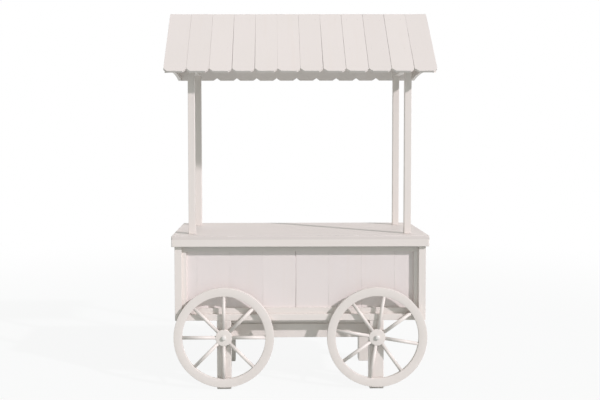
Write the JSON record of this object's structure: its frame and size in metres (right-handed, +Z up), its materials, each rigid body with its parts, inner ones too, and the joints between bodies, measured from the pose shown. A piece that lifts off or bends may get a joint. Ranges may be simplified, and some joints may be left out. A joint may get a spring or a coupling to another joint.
{
  "type": "candy cart",
  "caption": "White painted timber display cart with a boarded gable roof on slender posts, a panelled counter on square legs and spoked wheels that turn at the front.",
  "frame": {"origin": "on the ground, at the middle of the cart's length and depth", "axes": "+X to the right as seen from the front, +Y to the rear, +Z up"},
  "size_m": [1.524, 0.766, 2.161],
  "materials": {
    "white_paint": "warm white semi-gloss paint over planed softwood",
    "panel_paint": "warm white satin paint over tongue-and-groove boards",
    "painted_steel": "white enamel over zinc-plated steel"
  },
  "bodies": {
    "cart": {"floor": "white_paint", "front_plinth": "white_paint", "rear_plinth": "white_paint", "end_plinths": "white_paint", "front_corner_posts": "white_paint", "rear_corner_posts": "white_paint", "front_panel": "panel_paint", "rear_panel": "panel_paint", "left_panel": "panel_paint", "right_panel": "panel_paint", "front_rails": "white_paint", "rear_rails": "white_paint", "left_rails": "white_paint", "right_rails": "white_paint", "front_stiles": "white_paint", "rear_stiles": "white_paint", "left_stiles": "white_paint", "right_stiles": "white_paint", "front_legs": "white_paint", "rear_legs": "white_paint", "front_stretcher": "white_paint", "rear_stretcher": "white_paint", "counter_top": "white_paint", "counter_long_edges": "white_paint", "counter_end_edges": "white_paint", "front_posts": "white_paint", "rear_posts": "white_paint", "wall_plates": "white_paint", "side_ties": "white_paint", "ridge_board": "white_paint", "left_gable": "white_paint", "right_gable": "white_paint", "front_roof": "white_paint", "rear_roof": "white_paint", "left_axle": "painted_steel", "right_axle": "painted_steel"},
    "left_wheel": {"left_rim": "white_paint", "left_spokes": "white_paint", "left_hub": "white_paint"},
    "right_wheel": {"right_rim": "white_paint", "right_spokes": "white_paint", "right_hub": "white_paint"}
  },
  "joints": [
    {"name": "left_wheel_turn", "type": "hinge", "parent": "cart", "child": "left_wheel", "pos_m": [-0.433, -0.358, 0.299], "axis": [0, -1, 0], "continuous": true},
    {"name": "right_wheel_turn", "type": "hinge", "parent": "cart", "child": "right_wheel", "pos_m": [0.433, -0.358, 0.299], "axis": [0, -1, 0], "continuous": true}
  ]
}
